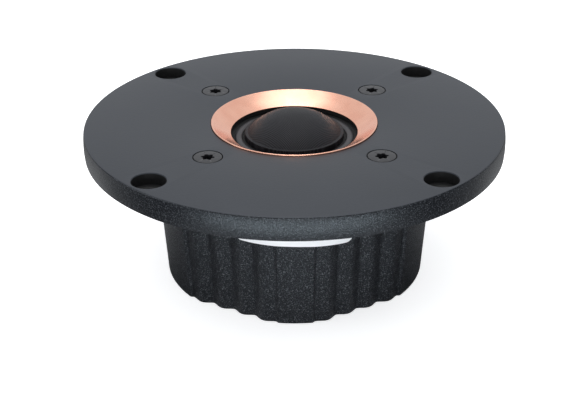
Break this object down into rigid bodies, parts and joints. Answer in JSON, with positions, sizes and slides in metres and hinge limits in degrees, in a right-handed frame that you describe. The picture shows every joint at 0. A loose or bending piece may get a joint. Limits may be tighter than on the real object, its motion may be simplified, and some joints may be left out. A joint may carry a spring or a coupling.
{
  "type": "soft dome tweeter",
  "caption": "Soft-dome tweeter: round black faceplate with counterbored mounting holes, copper-coloured flare, fabric dome and a deep fluted rear housing.",
  "frame": {"origin": "centre of the housing's flat base, on the tweeter's axis", "axes": "+Z along the tweeter's axis, out of the faceplate and the way the dome faces; -Y towards the side with the label; +Y towards the terminals"},
  "size_m": [0.125, 0.125, 0.0495],
  "materials": {
    "faceplate_paint": "satin",
    "housing_paint": "textured powder coat",
    "black_screw_steel": "black oxide",
    "copper_anodise": "polished",
    "coated_fabric": "coated weave",
    "former_aluminium": "foil",
    "copper_wire": "bare copper",
    "black_plastic": "moulded",
    "motor_steel": "zinc plated",
    "ferrite": "ground ferrite",
    "felt": "wool felt",
    "gasket_rubber": "closed-cell foam",
    "phenolic_board": "laminated",
    "terminal_brass": "tinned",
    "red_sleeve": "wire insulation",
    "black_sleeve": "wire insulation",
    "label_film": "blank white film"
  },
  "bodies": {
    "frame": {"faceplate": "faceplate_paint", "faceplate_screw_1": "black_screw_steel", "faceplate_screw_2": "black_screw_steel", "faceplate_screw_3": "black_screw_steel", "faceplate_screw_4": "black_screw_steel", "trim_ring": "copper_anodise", "surround": "coated_fabric", "mounting_ring": "black_plastic", "tinsel_lead_left": "copper_wire", "tinsel_lead_right": "copper_wire", "front_plate": "motor_steel", "magnet_ring": "ferrite", "back_plate": "motor_steel", "pole_piece": "motor_steel", "shorting_cap": "copper_wire", "pole_damper": "felt", "rear_housing": "housing_paint", "chamber_damping": "felt", "housing_gasket": "gasket_rubber", "terminal_board": "phenolic_board", "terminal_positive": "terminal_brass", "terminal_negative": "terminal_brass", "rivet_positive": "terminal_brass", "rivet_negative": "terminal_brass", "lead_positive": "red_sleeve", "lead_negative": "black_sleeve", "label": "label_film"},
    "diaphragm": {"dome": "coated_fabric", "voice_coil_former": "former_aluminium", "voice_coil": "copper_wire"}
  },
  "joints": [
    {"name": "diaphragm_travel", "type": "slide", "parent": "frame", "child": "diaphragm", "axis": [0, 0, 1], "range_m": [-0.0005, 0.0005], "stiffness_N_per_m": 5000, "deforming": ["surround", "tinsel_lead_left", "tinsel_lead_right"]}
  ]
}
